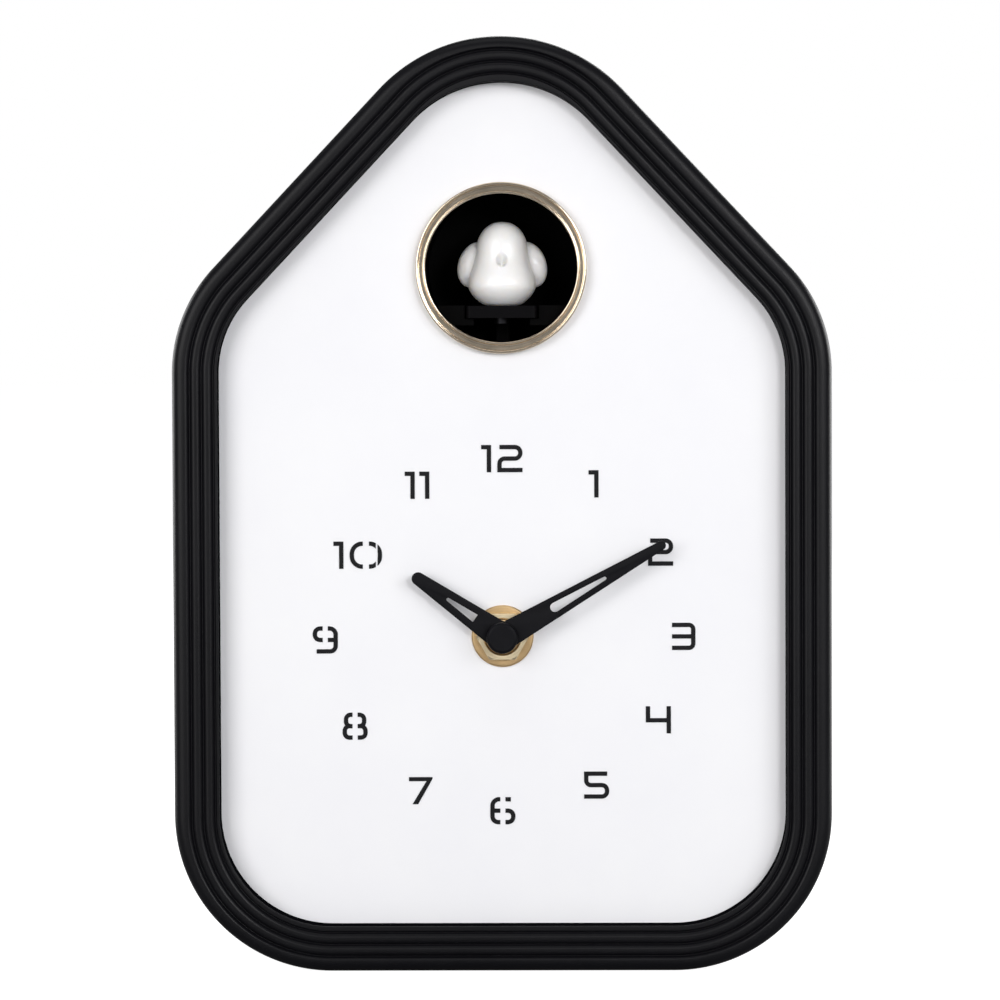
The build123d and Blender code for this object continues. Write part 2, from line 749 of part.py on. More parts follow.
def hand_face(length, root_half, tip_half, slot_start, slot_end, slot_wide, slot_narrow):
    # Drawn pointing up from the hub at the sketch's origin.
    with BuildSketch() as hand:
        with BuildLine():
            Polyline((-root_half, 0), (-tip_half, length - tip_half), (tip_half, length - tip_half), (root_half, 0))
            Line((root_half, 0), (-root_half, 0))
        make_face()
        with Locations((0, length - tip_half)):
            Circle(tip_half)
        Circle(root_half + 0.35)
        with BuildLine():
            Polyline(
                (-slot_wide, slot_start),
                (-slot_narrow, slot_end),
                (slot_narrow, slot_end),
                (slot_wide, slot_start),
                close=True,
            )
        make_face(mode=Mode.SUBTRACT)
        with Locations((0, slot_end)):
            Circle(slot_narrow, mode=Mode.SUBTRACT)
    return hand.sketch


def hand(face, back, bore, angle):
    with BuildPart() as made:
        with BuildSketch(facing(back)):
            with Locations(Location((0, dial_z), -angle)):
                add(face)
            with Locations((0, dial_z)):
                Circle(bore, mode=Mode.SUBTRACT)
        extrude(amount=hand_thick)
    return made


hour_hand = hand(
    hand_face(hour_length, 3.3, 1.5, 7.6, 15.2, 1.0, 0.4), hour_hand_back, 2.52, hour_angle
)
minute_hand = hand(
    hand_face(minute_length, 3.15, 1.05, 12.9, 27.2, 1.1, 0.4), minute_hand_back, 1.52, minute_angle
)

with BuildPart() as centre_cap:
    add(rod_y(3.55, cap_front, minute_hand_back - hand_thick, 0, dial_z))
    fillet(centre_cap.faces().sort_by(Axis.Y)[0].edges(), radius=0.35)
    add(rod_y(1.52, -29.1, minute_hand_back - hand_thick, 0, dial_z), mode=Mode.SUBTRACT)

# Sound and controls

board_back = 17.6
with BuildPart() as main_board:
    add(block((-66.0, -34.0), (board_back - 1.6, board_back), (60.0, 112.0)))

with BuildPart() as board_components:
    add(block((-62.0, -54.0), (board_back - 2.8, board_back - 1.6), (80.0, 88.0)))
    add(rod_y(2.5, board_back - 8.6, board_back - 1.6, -44.0, 104.0))
    add(rod_y(2.5, board_back - 8.6, board_back - 1.6, -52.0, 104.0))
    add(block((-46.0, -38.0), (board_back - 5.6, board_back - 1.6), (66.0, 72.0)))

with BuildPart() as board_posts:
    for x in (-63.0, -37.0):
        for z in (63.0, 109.0):
            add(rod_y(2.0, board_back, cover_front, x, z))

with BuildPart() as switch_body:
    add(block((control_x - 6.5, control_x + 6.5), (board_back, 23.0), (switch_z - 3.0, switch_z + 3.0)))
    add(block((control_x - 5.2, control_x + 5.2), (21.0, 23.0), (switch_z - 1.2, switch_z + 1.2)), mode=Mode.SUBTRACT)

with BuildPart() as switch_lever:
    add(block((control_x - 1.8, control_x + 1.8), (21.2, 29.8), (switch_z - 1.0, switch_z + 1.0)))
    fillet(switch_lever.faces().sort_by(Axis.Y)[-1].edges(), radius=0.4)

with BuildPart() as button_switch:
    add(block((control_x - 3.0, control_x + 3.0), (board_back, 21.0), (button_z - 3.0, button_z + 3.0)))

with BuildPart() as test_button:
    add(rod_y(2.5, 22.2, 29.7, control_x, button_z))
    fillet(test_button.faces().sort_by(Axis.Y)[-1].edges(), radius=0.5)
    add(rod_y(3.6, 25.8, 27.1, control_x, button_z))

with BuildPart() as speaker_frame:
    with BuildSketch(Plane.YZ.offset(speaker_x)):
        with BuildLine():
            Polyline(
                (19.0, speaker_z + 6.0),
                (19.0, speaker_z + 11.0),
                (24.8, speaker_z + 17.6),
                (24.8, speaker_z + speaker_radius),
                (26.9, speaker_z + speaker_radius),
                (26.9, speaker_z + 17.0),
                (25.4, speaker_z + 16.6),
                (20.2, speaker_z + 10.4),
                (20.2, speaker_z + 6.0),
                close=True,
            )
        make_face()
    revolve(axis=Axis((speaker_x, 0, speaker_z), (0, 1, 0)))

with BuildPart() as speaker_magnet:
    add(rod_y(10.5, 13.0, 19.0, speaker_x, speaker_z))
    fillet(speaker_magnet.edges(), radius=0.6)
    add(rod_y(5.0, 19.0, 21.4, speaker_x, speaker_z))

with BuildPart() as speaker_cone:
    with BuildSketch(Plane.YZ.offset(speaker_x)):
        with BuildLine():
            Polyline(
                (21.7, speaker_z),
                (21.7, speaker_z + 6.6),
                (26.0, speaker_z + 15.8),
                (26.4, speaker_z + 15.8),
                (22.2, speaker_z + 6.2),
                (23.4, speaker_z),
                close=True,
            )
        make_face()
    revolve(axis=Axis((speaker_x, 0, speaker_z), (0, 1, 0)))

with BuildPart() as speaker_gasket:
    add(rod_y(speaker_radius, 26.9, cover_front, speaker_x, speaker_z))
    add(rod_y(17.2, 26.9, cover_front, speaker_x, speaker_z), mode=Mode.SUBTRACT)

# Battery compartment behind the back cover

with BuildPart() as battery_tray:
    add(block((-31.0, 31.0), (10.5, cover_front), (bay_low - 1.6, bay_high + 1.6)))
    add(block((-bay_half, bay_half), (12.0, cover_front), (bay_low, bay_high)), mode=Mode.SUBTRACT)

spring_space = 5.6
plate_thick = 0.5
battery_ends = [(bay_half - plate_thick - spring_space, -1), (-bay_half + plate_thick + spring_space, 1)]
with BuildPart() as batteries:
    for z, (flat_end, towards) in zip(battery_z, battery_ends):
        far_end = flat_end + towards * battery_length
        left, right = sorted((flat_end, far_end))
        add(rod_x(battery_radius, left, right, battery_y, z))
        nub_left, nub_right = sorted((far_end, far_end + towards * 1.0))
        add(rod_x(2.7, nub_left, nub_right, battery_y, z))

with BuildPart() as battery_contacts:
    for z in battery_z:
        for left in (-bay_half, bay_half - plate_thick):
            add(block((left, left + plate_thick), (14.0, 26.0), (z - 5.0, z + 5.0)))

with BuildPart() as battery_springs:
    for z, (flat_end, towards) in zip(battery_z, battery_ends):
        spring_base = flat_end - towards * (spring_space - 0.35)
        with BuildLine() as coil:
            Helix(
                pitch=1.2,
                height=spring_space - 0.75,
                radius=3.4,
                center=(spring_base, battery_y, z),
                direction=(towards, 0, 0),
            )
        with BuildSketch(Plane(origin=coil.line @ 0, z_dir=coil.line % 0)):
            Circle(0.3)
        sweep(path=coil.line)

hinge_z = 13.3
with BuildPart() as battery_door:
    add(block((-29.6, 29.6), (28.2, cover_back), (hinge_z + 0.3, 46.6)))
    fillet(battery_door.faces().sort_by(Axis.Y)[-1].edges(), radius=0.3)
    for ridge in range(5):
        ridge_z = 40.0 + 1.1 * ridge
        add(block((-7.0, 7.0), (29.6, cover_back), (ridge_z - 0.25, ridge_z + 0.25)), mode=Mode.SUBTRACT)

# Back cover and its screws

cup_radius = 9.5
with BuildPart() as back_cover:
    add(house_plate(cover_front, cover_back, 0.25))
    fillet(back_cover.faces().sort_by(Axis.Y)[-1].edges(), radius=1.0)
    add(block((-30.0, 30.0), (cover_front, cover_back), (hinge_z - 0.3, 47.0)), mode=Mode.SUBTRACT)
    add(rod_y(cup_radius, cover_front, cover_back, 0, knob_z), mode=Mode.SUBTRACT)
    add(rod_y(cup_radius + 1.2, 18.8, cover_front, 0, knob_z))
    add(rod_y(cup_radius, 20.0, cover_back, 0, knob_z), mode=Mode.SUBTRACT)
    add(rod_y(2.3, 18.8, 20.0, 0, knob_z), mode=Mode.SUBTRACT)
    with BuildSketch(facing(cover_back)):
        with Locations((control_x, switch_z)):
            Rectangle(11.2, 3.4)
        with Locations((control_x, button_z)):
            Circle(2.8)
        with Locations((speaker_x, speaker_z)):
            Circle(0.9)
            for ring in (1, 2, 3):
                with PolarLocations(4.4 * ring, 6 * ring):
                    Circle(0.9)
        with Locations((0, hanger_z - 8.0)):
            Circle(4.3)
        with Locations((0, hanger_z)):
            Circle(2.3)
        with Locations((0, hanger_z - 4.0)):
            Rectangle(4.6, 8.0)
    extrude(amount=cover_back - cover_front, mode=Mode.SUBTRACT)
    for x, z in column_places:
        add(rod_y(1.2, cover_front, cover_back, x, z), mode=Mode.SUBTRACT)
        add(rod_y(3.0, cover_back - 1.4, cover_back, x, z), mode=Mode.SUBTRACT)

with BuildPart() as cover_screws:
    for x, z in column_places:
        add(rod_y(1.1, 16.0, cover_back - 1.4, x, z))
        add(rod_y(2.8, cover_back - 1.4, cover_back - 0.2, x, z))
        with BuildSketch(facing(cover_back - 0.2)):
            with Locations((x, z)):
                Rectangle(3.2, 0.6, rotation=20)
                Rectangle(0.6, 3.2, rotation=20)
        extrude(amount=0.8, mode=Mode.SUBTRACT)

pieces = {
    "front_frame": front_frame,
    "dial_panel": dial_panel,
    "dial_numerals": dial_numerals,
    "dial_screws": dial_screws,
    "porthole_ring": porthole_ring,
    "bird_chamber": bird_chamber,
    "bird_body": bird_body,
    "left_wing": left_wing,
    "right_wing": right_wing,
    "bird_screw": bird_screw,
    "bird_carriage": bird_carriage,
    "drive_gear": drive_gear,
    "motor_pinion": motor_pinion,
    "motor_shaft": motor_shaft,
    "cuckoo_motor": cuckoo_motor,
    "drive_axle": drive_axle,
    "mechanism_bracket": mechanism_bracket,
    "movement_housing": movement_housing,
    "movement_bridge": movement_bridge,
    "movement_cover": movement_cover,
    "threaded_bushing": threaded_bushing,
    "dial_washer": dial_washer,
    "hex_nut": hex_nut,
    "centre_arbor": centre_arbor,
    "drive_wheel": drive_wheel,
    "hour_wheel": hour_wheel,
    "intermediate_wheel": intermediate_wheel,
    "step_wheel": step_wheel,
    "rotor_pinion": rotor_pinion,
    "rotor_magnet": rotor_magnet,
    "stator": stator,
    "coil_core": coil_core,
    "coil_bobbin": coil_bobbin,
    "coil_winding": coil_winding,
    "movement_board": movement_board,
    "quartz_crystal": quartz_crystal,
    "setting_knob": setting_knob,
    "hour_hand": hour_hand,
    "minute_hand": minute_hand,
    "centre_cap": centre_cap,
    "main_board": main_board,
    "board_components": board_components,
    "board_posts": board_posts,
    "switch_body": switch_body,
    "switch_lever": switch_lever,
    "button_switch": button_switch,
    "test_button": test_button,
    "speaker_frame": speaker_frame,
    "speaker_magnet": speaker_magnet,
    "speaker_cone": speaker_cone,
    "speaker_gasket": speaker_gasket,
    "battery_tray": battery_tray,
    "batteries": batteries,
    "battery_contacts": battery_contacts,
    "battery_springs": battery_springs,
    "battery_door": battery_door,
    "back_cover": back_cover,
    "cover_screws": cover_screws,
}

os.makedirs("parts", exist_ok=True)
for name, piece in pieces.items():
    piece.part.label = name
    export_step(piece.part, f"parts/{name}.step")
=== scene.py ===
import json
from math import cos, pi, radians, sin, sqrt, tan

import bmesh
import bpy
import numpy as np
from mathutils import Euler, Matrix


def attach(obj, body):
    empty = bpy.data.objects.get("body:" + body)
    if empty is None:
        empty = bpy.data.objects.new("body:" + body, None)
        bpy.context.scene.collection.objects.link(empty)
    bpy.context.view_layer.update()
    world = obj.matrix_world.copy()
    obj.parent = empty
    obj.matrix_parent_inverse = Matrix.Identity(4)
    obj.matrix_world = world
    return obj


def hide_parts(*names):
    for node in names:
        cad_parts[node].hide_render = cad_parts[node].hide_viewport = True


# A house-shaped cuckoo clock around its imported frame. Settings are in millimetres and
# degrees; meshes are turned to metres when they are made. The dial faces -y.

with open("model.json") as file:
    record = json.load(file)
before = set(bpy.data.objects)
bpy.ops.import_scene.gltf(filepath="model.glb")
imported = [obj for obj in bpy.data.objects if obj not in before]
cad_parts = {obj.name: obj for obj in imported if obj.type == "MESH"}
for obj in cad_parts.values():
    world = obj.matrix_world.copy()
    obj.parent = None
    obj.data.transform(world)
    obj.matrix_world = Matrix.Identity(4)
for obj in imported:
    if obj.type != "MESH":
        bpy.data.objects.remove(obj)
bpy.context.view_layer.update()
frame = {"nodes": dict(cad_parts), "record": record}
nodes = frame["nodes"]
mm = 0.001
dialZ = 77.1  # height of the hands' centre
portholeZ = 162.0  # height of the porthole's centre


# Shader building

class Channel:
    # One output of a shader node, so that shader maths reads as plain sums.
    def __init__(self, finish, socket):
        self.finish = finish
        self.socket = socket

    def join(self, operation, first, second):
        return self.finish.node("ShaderNodeMath", {"operation": operation}, {0: first, 1: second})

    def __add__(self, other):
        return self.join("ADD", self, other)

    def __radd__(self, other):
        return self.join("ADD", other, self)

    def __sub__(self, other):
        return self.join("SUBTRACT", self, other)

    def __mul__(self, other):
        return self.join("MULTIPLY", self, other)

    def __pow__(self, other):
        return self.join("POWER", self, other)

    def __gt__(self, other):
        return self.join("GREATER_THAN", self, other)

    def sine(self):
        return self.finish.node("ShaderNodeMath", {"operation": "SINE"}, {0: self})

    def sign(self):
        return self.finish.node("ShaderNodeMath", {"operation": "SIGN"}, {0: self})


class Finish:
    # A material under construction, with the patterns that several finishes share.
    def __init__(self, name):
        self.material = bpy.data.materials.new(name)
        self.material.use_nodes = True
        self.tree = self.material.node_tree
        self.shader = next(n for n in self.tree.nodes if n.type == "BSDF_PRINCIPLED")
        self.place = self.node("ShaderNodeTexCoord", output="Object")

    def node(self, kind, settings=None, inputs=None, output=0):
        made = self.tree.nodes.new(kind)
        for key, value in (settings or {}).items():
            setattr(made, key, value)
        for key, value in (inputs or {}).items():
            if isinstance(value, Channel):
                self.tree.links.new(value.socket, made.inputs[key])
            else:
                made.inputs[key].default_value = value
        return Channel(self, made.outputs[output])

    def noise(self, size, detail=3.0, place=None, kind="3D"):
        # Soft noise whose blotches are about this many millimetres across.
        inputs = {"Scale": 1 / (size * mm), "Detail": detail, "Roughness": 0.55}
        inputs["W" if kind == "1D" else "Vector"] = self.place if place is None else place
        return self.node("ShaderNodeTexNoise", {"noise_dimensions": kind}, inputs)

    def pits(self, size):
        # Distance to the nearest of scattered points this many millimetres apart.
        return self.node("ShaderNodeTexVoronoi", {}, {"Vector": self.place, "Scale": 1 / (size * mm)})

    def axes(self, origin=(0, 0, 0), turn=(0, 0, 0)):
        # The three distances from a point, in metres, after turning the pattern.
        moved = self.node("ShaderNodeMapping", {"vector_type": "TEXTURE"}, {
            "Vector": self.place,
            "Location": tuple(v * mm for v in origin),
            "Rotation": tuple(radians(v) for v in turn),
        })
        return [self.node("ShaderNodeSeparateXYZ", {}, {0: moved}, output=n) for n in range(3)]

    def ringDistance(self, x, z):
        # Distance from an axis along y, in metres.
        across, _, up = self.axes((x, 0, z))
        return (across * across + up * up) ** 0.5

    def spread(self, factor, low, high):
        # Turns a 0 to 1 pattern round the middle into this range, clipped at both ends.
        return self.node("ShaderNodeMapRange", {}, {0: factor, 1: 0.3, 2: 0.7, 3: low, 4: high})

    def mix(self, factor, first, second):
        return self.node("ShaderNodeMix", {"data_type": "RGBA"}, {0: factor, 6: first, 7: second}, output=2)

    def relief(self, height, depth):
        # Bump of this depth in millimetres.
        return self.node("ShaderNodeBump", {}, {"Height": height, "Distance": depth * mm, "Strength": 1.0})

    def surface(self, values):
        for key, value in values.items():
            socket = self.shader.inputs[key]
            if isinstance(value, Channel):
                self.tree.links.new(value.socket, socket)
            else:
                socket.default_value = value
        return self.material


def shade(colour, amount=1.0):
    return tuple(c * amount for c in colour) + (1.0,)


# Mesh building

def gridFaces(rows, columns, closedRows, closedColumns):
    # Quads between neighbouring points of a grid, joined round where a direction closes.
    index = np.arange(rows * columns).reshape(rows, columns)
    if closedRows:
        index = np.vstack([index, index[:1]])
    if closedColumns:
        index = np.hstack([index, index[:, :1]])
    corners = [index[:-1, :-1], index[1:, :-1], index[1:, 1:], index[:-1, 1:]]
    return np.stack(corners, -1).reshape(-1, 4)


def finishPiece(name, mesh, body, finish, replaced, crease):
    # Welds doubled points, turns a closed shell outwards and gives it its body and finish.
    shell = bmesh.new()
    shell.from_mesh(mesh)
    bmesh.ops.remove_doubles(shell, verts=shell.verts, dist=2e-6)
    bmesh.ops.dissolve_degenerate(shell, edges=shell.edges, dist=1e-6)
    if shell.calc_volume(signed=True) < 0:
        bmesh.ops.reverse_faces(shell, faces=shell.faces)
    shell.to_mesh(mesh)
    shell.free()
    mesh.shade_smooth()
    mesh.set_sharp_from_angle(angle=radians(crease))
    for one in finish if isinstance(finish, list) else [finish]:
        mesh.materials.append(one)
    piece = bpy.data.objects.new(name, mesh)
    bpy.context.scene.collection.objects.link(piece)
    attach(piece, body)
    if replaced:
        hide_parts(*replaced)
    return piece


def surfacePiece(name, parts, body, finish, replaced=(), crease=42, marks=None):
    # One mesh out of several grids of points with their faces. Marks, one for each point,
    # give the faces between marked points the second of two finishes.
    points, faces, start = [], [], 0
    for grid, quads in parts:
        flat = grid.reshape(-1, 3)
        points.append(flat)
        faces.append(quads + start)
        start += len(flat)
    mesh = bpy.data.meshes.new(name)
    mesh.from_pydata((np.concatenate(points) * mm).tolist(), [], np.concatenate(faces).tolist())
    if marks is not None:
        chosen = marks.ravel()[np.concatenate(faces)].all(1)
        mesh.polygons.foreach_set("material_index", chosen.astype(np.int32))
    return finishPiece(name, mesh, body, finish, replaced, crease)


def softLine(corners, closed=False, steps=5):
    # A line through corners (a, b, radius); each radius rounds its corner with an arc.
    places = np.array([c[:2] for c in corners], float)
    count = len(corners)
    line = []
    for n, (a, b, radius) in enumerate(corners):
        if radius == 0 or (not closed and n in (0, count - 1)):
            line.append([(a, b)])
            continue
        here = places[n]
        back = places[n - 1] - here
        ahead = places[(n + 1) % count] - here
        back /= np.linalg.norm(back)
        ahead /= np.linalg.norm(ahead)
        half = np.arccos(np.clip(back @ ahead, -1, 1)) / 2
        middle = (back + ahead) / np.linalg.norm(back + ahead)
        centre = here + middle * radius / sin(half)
        t = np.linspace(-1, 1, steps)[:, None] * (pi / 2 - half)
        side = ahead - middle * (ahead @ middle)
        side /= np.linalg.norm(side)
        line.append(centre + radius * (-middle * np.cos(t) + side * np.sin(t)))
    return np.concatenate(line)


def turned(profile, x, z, steps=128, axis="y", ripple=None):
    # A closed profile (radius, place along the axis) carried round an axis. A profile that
    # starts and ends on the axis closes at its poles, any other closes on itself.
    radius, along = np.asarray(profile, float).T
    turn = np.arange(steps) * 2 * pi / steps
    reach = radius[:, None] * np.ones(steps)
    if ripple is not None:
        reach = ripple(reach, along[:, None] + 0 * turn, turn[None, :])
    first, second = reach * np.cos(turn), reach * np.sin(turn)
    along = along[:, None] + 0 * turn
    if axis == "y":
        grid = np.stack([x + first, along, z + second], -1)
    else:
        grid = np.stack([along, x + first, z + second], -1)
    poles = radius[0] == 0 and radius[-1] == 0
    return grid, gridFaces(len(radius), steps, not poles, True)


def flatPlate(name, outlines, front, back, bevel, body, finish, replaced):
    # A plate with rounded edges, cut from closed outlines (x, z); inner outlines are holes.
    curve = bpy.data.curves.new(name, "CURVE")
    curve.dimensions = "2D"
    curve.fill_mode = "BOTH"
    curve.extrude = ((back - front) / 2 - bevel) * mm
    curve.bevel_depth = bevel * mm
    curve.bevel_resolution = 3
    curve.offset = -bevel * mm
    for outline in outlines:
        spline = curve.splines.new("POLY")
        spline.points.add(len(outline) - 1)
        flat = np.zeros((len(outline), 4))
        flat[:, :2] = np.asarray(outline) * mm
        flat[:, 3] = 1
        spline.points.foreach_set("co", flat.ravel())
        spline.use_cyclic_u = True
    source = bpy.data.objects.new(name + "Outline", curve)
    bpy.context.scene.collection.objects.link(source)
    bpy.context.view_layer.update()
    mesh = bpy.data.meshes.new_from_object(source.evaluated_get(bpy.context.evaluated_depsgraph_get()))
    mesh.name = name
    bpy.data.objects.remove(source)
    bpy.data.curves.remove(curve)
    flat = np.zeros(len(mesh.vertices) * 3)
    mesh.vertices.foreach_get("co", flat)
    flat = flat.reshape(-1, 3)
    placed = np.stack([flat[:, 0], (front + back) / 2 * mm + flat[:, 2], flat[:, 1]], -1)
    mesh.vertices.foreach_set("co", placed.ravel())
    mesh.materials.clear()
    return finishPiece(name, mesh, body, finish, replaced, 38)


# Finishes

def mouldedPlastic(name, colour, roughness, grain, depth, lift=0.35, specular=0.5):
    # Fine spark-eroded grain, slow sink marks and a faint change of gloss.
    finish = Finish(name)
    cloud = finish.noise(17, 4.0)
    speck = finish.noise(grain, 2.0)
    dimple = finish.pits(grain * 1.6)
    tone = finish.spread(cloud * 0.55 + speck * 0.45, 0.0, 1.0)
    height = speck * 0.6 + dimple * 0.4
    return finish.surface({
        "Base Color": finish.mix(tone, shade(colour, 1 - lift), shade(colour, 1 + lift)),
        "Roughness": roughness + (cloud - 0.5) * 0.16 + (speck - 0.5) * 0.1,
        "Specular IOR Level": specular,
        "Normal": finish.relief(height, depth),
    })


def caseFinish(name, settings):
    # Matt black with a fine grain and edges that years of handling have made shinier and lighter: part wear, part
    # painted highlight along the rib edges.
    finish = Finish(name)
    cloud = finish.noise(22, 4.0)
    speck = finish.noise(settings["grain"], 2.0)
    dimple = finish.pits(settings["grain"] * 1.5)
    edge = finish.node("ShaderNodeNewGeometry", output="Pointiness")
    wornAndSheen = finish.node("ShaderNodeMapRange", {}, {0: edge, 1: 0.51, 2: 0.58, 3: 0.0, 4: 1.0})
    # convex edges painted lighter: part real wear, part painted highlight on the rib edges
    tone = finish.spread(cloud * 0.5 + speck * 0.5, 0.0, 0.8) + wornAndSheen * 0.35
    height = speck * 0.55 + dimple * 0.45
    return finish.surface({
        "Base Color": finish.mix(tone, shade(settings["dark"]), shade(settings["light"])),
        "Roughness": settings["roughness"] + (cloud - 0.5) * 0.1 - wornAndSheen * 0.05,
        "Specular IOR Level": settings["specular"],
        "Normal": finish.relief(height, settings["depth"]),
    })


def dialFinish(name, settings):
    # Satin white paint: a slight orange peel and a very faint mottling.
    finish = Finish(name)
    cloud = finish.noise(30, 3.0)
    peel = finish.noise(settings["peel"], 2.0)
    tone = finish.spread(cloud, 0.0, 1.0)
    return finish.surface({
        "Base Color": finish.mix(tone, shade(settings["cool"]), shade(settings["warm"])),
        "Roughness": settings["roughness"] + (cloud - 0.5) * 0.12 + (peel - 0.5) * 0.08,
        "Specular IOR Level": 0.35,
        "Normal": finish.relief(peel, settings["depth"]),
    })


def inkFinish(name):
    # Screen-printed black: dense, with the weave of the screen just showing.
    finish = Finish(name)
    across, _, up = finish.axes(turn=(0, 22, 0))
    weave = (across * 16000).sine()
    weft = (up * 16000).sine()
    grain = finish.noise(0.7, 2.0)
    return finish.surface({
        "Base Color": finish.mix(grain, shade((0.003, 0.003, 0.004)), shade((0.008, 0.008, 0.01))),
        "Roughness": 0.5 + (grain - 0.5) * 0.2,
        "Specular IOR Level": 0.15,
        "Normal": finish.relief(weave * weft, 0.004),
    })


def turnedMetal(name, colour, roughness, x, z, line=0.16, depth=0.003, stain=0.2, speckle=0.2):
    # Metal turned on a lathe: fine rings about the axis, and a little tarnish between them.
    finish = Finish(name)
    rings = finish.noise(line, 4.0, finish.ringDistance(x, z), "1D")
    cloud = finish.noise(3.5, 4.0)
    speck = finish.noise(0.35, 2.0)
    tone = finish.spread(cloud * 0.6 + rings * 0.4, 0.0, 1.0)
    return finish.surface({
        "Base Color": finish.mix(tone, shade(colour, 1 - stain), shade(colour)),
        "Metallic": 1.0,
        "Roughness": roughness + (rings - 0.5) * 0.16 + (cloud - 0.5) * 0.12,
        "Normal": finish.relief(rings * (1 - speckle) + speck * speckle, depth),
    })


def glossFinish(name, colour, roughness, coat, lift=0.04, specular=0.5, deep=0.0):
    # Lacquer over plastic: nearly even, with dust specks and a soft ripple under the gloss.
    finish = Finish(name)
    cloud = finish.noise(6, 3.0)
    speck = finish.noise(0.5, 3.0)
    tone = finish.spread(cloud * 0.7 + speck * 0.3, 0.0, 1.0)
    return finish.surface({
        "Base Color": finish.mix(tone, shade(colour, 1 - lift), shade(colour, 1 + lift * 0.5)),
        "Roughness": roughness + (cloud - 0.5) * 0.08 + (speck - 0.5) * 0.05,
        "Specular IOR Level": specular,
        "Coat Weight": coat,
        "Coat Roughness": 0.08,
        "Subsurface Weight": deep,
        "Subsurface Radius": (1.0, 0.9, 0.75),
        "Subsurface Scale": 2.5 * mm,
        "Normal": finish.relief(cloud * 0.6 + speck * 0.4, 0.0015),
    })


def lacquerFinish(name, settings):
    # Matt black lacquer on stamped sheet: fine powdery grain and faint draw lines.
    finish = Finish(name)
    across, _, _ = finish.axes(turn=(0, settings["turn"], 0))
    lines = finish.noise(0.22, 2.0, across, "1D")
    grain = finish.noise(0.24, 3.0)
    cloud = finish.noise(5, 3.0)
    tone = finish.spread(cloud * 0.5 + grain * 0.5, 0.0, 1.0)
    return finish.surface({
        "Base Color": finish.mix(tone, shade(settings["dark"]), shade(settings["light"])),
        "Roughness": settings["roughness"] + (grain - 0.5) * 0.14 + (cloud - 0.5) * 0.08,
        "Specular IOR Level": settings["specular"],
        "Normal": finish.relief(grain * 0.8 + lines * 0.2, 0.006),
    })


def boardFinish(name):
    # Solder mask with copper tracks showing through as slightly raised lighter lines.
    finish = Finish(name)
    across, _, up = finish.axes()
    wander = finish.noise(6, 1.0)
    track = (across * 2600 + wander * 9).sine()
    bus = (up * 1900 + wander * 7).sine()
    mask = (track > 0.55) + (bus > 0.8)
    grain = finish.noise(0.5, 3.0)
    return finish.surface({
        "Base Color": finish.mix(mask * 0.6 + grain * 0.2, shade((0.012, 0.12, 0.05)), shade((0.05, 0.3, 0.12))),
        "Roughness": 0.28 + (grain - 0.5) * 0.12,
        "Normal": finish.relief(mask * 0.8 + grain * 0.2, 0.05),
    })


def windingFinish(name):
    # Enamelled wire laid side by side along x.
    finish = Finish(name)
    across, _, _ = finish.axes()
    turn = (across * 52000).sine()
    grain = finish.noise(1.2, 3.0)
    return finish.surface({
        "Base Color": finish.mix(turn * 0.3 + grain * 0.6, shade((0.35, 0.11, 0.05)), shade((0.78, 0.34, 0.17))),
        "Metallic": 0.9,
        "Roughness": 0.3 + (grain - 0.5) * 0.15,
        "Normal": finish.relief(turn, 0.05),
    })


def coneFinish(name):
    # Pressed paper with fibres and shallow rings.
    finish = Finish(name)
    distance = finish.ringDistance(45.0, 92.0)
    rings = (distance * 3800).sine()
    fibre = finish.noise(0.5, 5.0)
    return finish.surface({
        "Base Color": finish.mix(fibre, shade((0.02, 0.02, 0.02)), shade((0.09, 0.085, 0.08))),
        "Roughness": 0.85 + (fibre - 0.5) * 0.2,
        "Normal": finish.relief(rings * 0.5 + fibre * 0.5, 0.08),
    })


def foamFinish(name):
    # Closed-cell foam.
    finish = Finish(name)
    cell = finish.pits(0.5)
    grain = finish.noise(1.5, 3.0)
    return finish.surface({
        "Base Color": finish.mix(cell, shade((0.012, 0.012, 0.013)), shade((0.05, 0.05, 0.052))),
        "Roughness": 0.9 + (grain - 0.5) * 0.1,
        "Normal": finish.relief(cell, 0.15),
    })


def sleeveFinish(name, settings):
    # Printed shrink sleeve: a dark body and a coloured band near one end of each cell.
    finish = Finish(name)
    across, _, up = finish.axes((0, 0, 30))
    lengthwise = across * (up * 1e4).sign()
    band = lengthwise > settings["bandStart"] * mm
    wrinkle = finish.noise(1.6, 4.0)
    return finish.surface({
        "Base Color": finish.mix(band, shade(settings["body"]), shade(settings["band"])),
        "Roughness": settings["roughness"] + (wrinkle - 0.5) * 0.14,
        "Coat Weight": 0.4,
        "Coat Roughness": 0.15,
        "Normal": finish.relief(wrinkle, 0.02),
    })


